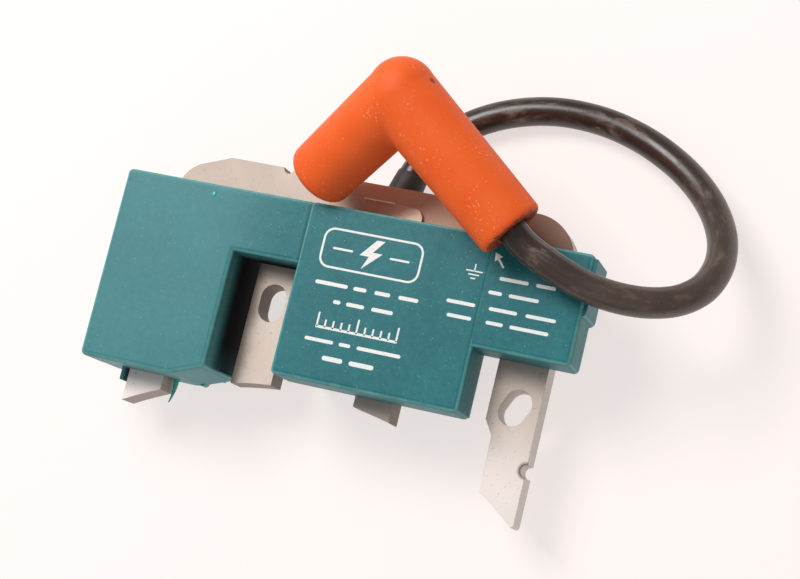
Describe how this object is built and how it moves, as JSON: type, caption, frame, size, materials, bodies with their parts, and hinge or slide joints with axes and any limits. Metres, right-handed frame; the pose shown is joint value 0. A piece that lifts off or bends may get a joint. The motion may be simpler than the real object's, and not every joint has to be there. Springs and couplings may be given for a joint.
{
  "type": "ignition coil",
  "caption": "Moulded ignition coil on a laminated four-legged core, with a looped high-tension lead ending in a right-angled plug boot.",
  "frame": {"origin": "under the middle of the coil's own bounding box, without its lead and plug boot", "axes": "+X along the yoke, from the charging leg to the long mounting leg; +Y from the flywheel side to the yoke; +Z out of the printed face"},
  "size_m": [0.1457, 0.104, 0.0512],
  "materials": {
    "teal_resin": "satin moulded",
    "potting_resin": "cast",
    "electrical_steel": "punched and lightly tarnished",
    "orange_silicone": "matte moulded",
    "black_rubber": "scuffed",
    "nylon": "moulded",
    "enamelled_copper": "lacquered wire",
    "tinned_copper": "stamped",
    "brass": "turned",
    "circuit_laminate": "lacquered",
    "epoxy_black": "moulded",
    "film_yellow": "dipped"
  },
  "bodies": {
    "coil": {"case": "teal_resin", "core_laminations": "electrical_steel", "charge_bobbin": "nylon", "charge_winding": "enamelled_copper", "primary_bobbin": "nylon", "primary_winding": "enamelled_copper", "secondary_bobbin": "nylon", "secondary_winding_1": "enamelled_copper", "secondary_winding_2": "enamelled_copper", "secondary_winding_3": "enamelled_copper", "secondary_winding_4": "enamelled_copper", "potting_left": "potting_resin", "potting_centre": "potting_resin", "resin_flash": "potting_resin", "circuit_board": "circuit_laminate", "thyristor": "epoxy_black", "timing_chip": "epoxy_black", "storage_capacitor": "film_yellow", "diode_1": "epoxy_black", "diode_2": "epoxy_black", "resistor_1": "nylon", "resistor_2": "nylon", "charge_wire": "enamelled_copper", "primary_wire": "enamelled_copper", "capacitor_wire": "enamelled_copper", "ground_strap": "tinned_copper", "kill_terminal": "tinned_copper", "ht_contact": "brass", "ht_lead": "black_rubber", "lead_gland": "black_rubber"},
    "boot": {"plug_boot": "orange_silicone", "plug_clip": "brass"}
  },
  "joints": [
    {"name": "boot_twist", "type": "hinge", "parent": "coil", "child": "boot", "pos_m": [0.0399, 0.027, 0.0366], "axis": [-0.7721, 0.6185, 0.1461], "range_deg": [0, 150]}
  ]
}
